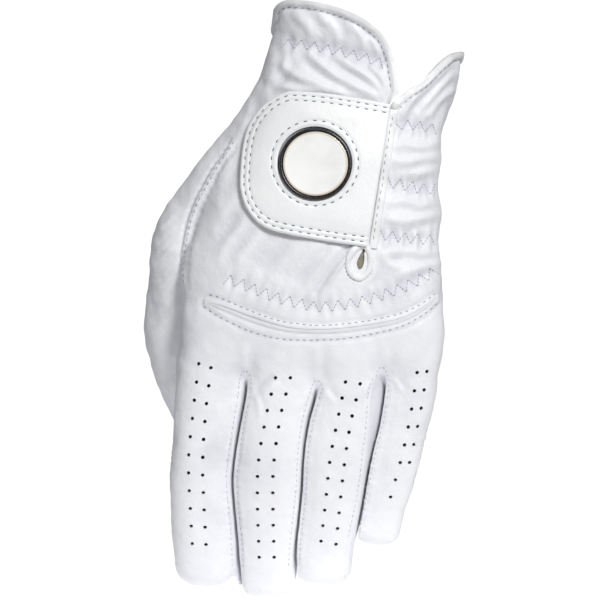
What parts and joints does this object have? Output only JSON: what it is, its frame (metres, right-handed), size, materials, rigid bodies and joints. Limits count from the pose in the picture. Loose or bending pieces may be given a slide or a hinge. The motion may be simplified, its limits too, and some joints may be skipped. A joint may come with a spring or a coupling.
{
  "type": "golf glove",
  "caption": "Left-hand leather golf glove with bending fingers and thumb, an opening closure tab and a lift-out ball marker.",
  "frame": {"origin": "middle of the wrist opening, where a hand enters", "axes": "+Z out of the wrist opening along the forearm, fingers along -Z, back of the hand faces -Y, palm faces +Y, thumb on the -X side"},
  "size_m": [0.1214, 0.0656, 0.2282],
  "materials": {
    "leather": "soft satin cabretta",
    "palm_leather": "soft satin cabretta",
    "fourchette_leather": "soft satin cabretta",
    "binding_leather": "satin",
    "elastic": "woven",
    "stretch_insert": "knitted",
    "loop_fabric": "brushed loop pile",
    "hook_tape": "hook tape",
    "lining": "matte",
    "cup_plastic": "high gloss black",
    "magnet_steel": "plated",
    "marker_enamel": "gloss enamel"
  },
  "bodies": {
    "hand": {"back_panel": "leather", "palm_panel": "palm_leather", "knuckle_insert": "stretch_insert", "cuff_hem_back": "binding_leather", "cuff_hem_palm": "binding_leather", "slit_band": "binding_leather", "teardrop_binding": "binding_leather", "loop_patch": "loop_fabric", "knuckle_elastic": "elastic", "wrist_elastic": "elastic", "side_elastics": "elastic", "finger_web": "fourchette_leather", "thumb_back_base": "leather", "thumb_palm_base": "leather", "index_wrap_base": "leather", "index_fourchette_base": "fourchette_leather", "middle_back_base": "leather", "middle_palm_base": "leather", "middle_fourchettes_base": "fourchette_leather", "ring_back_base": "leather", "ring_palm_base": "leather", "ring_fourchettes_base": "fourchette_leather", "little_back_base": "leather", "little_palm_base": "leather", "little_fourchette_base": "fourchette_leather"},
    "closure_tab": {"tab_outer": "leather", "tab_lining": "lining", "hook_pad": "hook_tape", "marker_cup": "cup_plastic", "magnet": "magnet_steel"},
    "marker": {"ball_marker": "marker_enamel"},
    "index_tip": {"index_wrap_tip": "leather", "index_fourchette_tip": "fourchette_leather"},
    "middle_tip": {"middle_back_tip": "leather", "middle_palm_tip": "leather", "middle_fourchettes_tip": "fourchette_leather"},
    "ring_tip": {"ring_back_tip": "leather", "ring_palm_tip": "leather", "ring_fourchettes_tip": "fourchette_leather"},
    "little_tip": {"little_back_tip": "leather", "little_palm_tip": "leather", "little_fourchette_tip": "fourchette_leather"},
    "thumb_tip": {"thumb_back_tip": "leather", "thumb_palm_tip": "leather"}
  },
  "joints": [
    {"name": "tab_open", "type": "hinge", "parent": "hand", "child": "closure_tab", "pos_m": [0.01485, -0.0216, -0.0451], "axis": [0.1664, 0.1049, 0.9805], "range_deg": [0, 120]},
    {"name": "marker_lift", "type": "slide", "parent": "closure_tab", "child": "marker", "axis": [0, -0.993, 0.1179], "range_m": [0, 0.02]},
    {"name": "index_bend", "type": "hinge", "parent": "hand", "child": "index_tip", "pos_m": [-0.0524, -0.004, -0.152], "axis": [0.9982, 0, -0.0599], "range_deg": [-25, 45]},
    {"name": "middle_bend", "type": "hinge", "parent": "hand", "child": "middle_tip", "pos_m": [-0.0279, -0.005, -0.156], "axis": [0.9905, 0, -0.1373], "range_deg": [-25, 45]},
    {"name": "ring_bend", "type": "hinge", "parent": "hand", "child": "ring_tip", "pos_m": [-0.0031, -0.0044, -0.1536], "axis": [0.9887, 0, -0.1497], "range_deg": [-25, 45]},
    {"name": "little_bend", "type": "hinge", "parent": "hand", "child": "little_tip", "pos_m": [0.02, -0.002, -0.149], "axis": [0.9854, 0, -0.1704], "range_deg": [-25, 45]},
    {"name": "thumb_bend", "type": "hinge", "parent": "hand", "child": "thumb_tip", "pos_m": [-0.064, 0.0205, -0.1085], "axis": [0.2574, -0.9254, -0.2783], "range_deg": [-20, 40]}
  ]
}
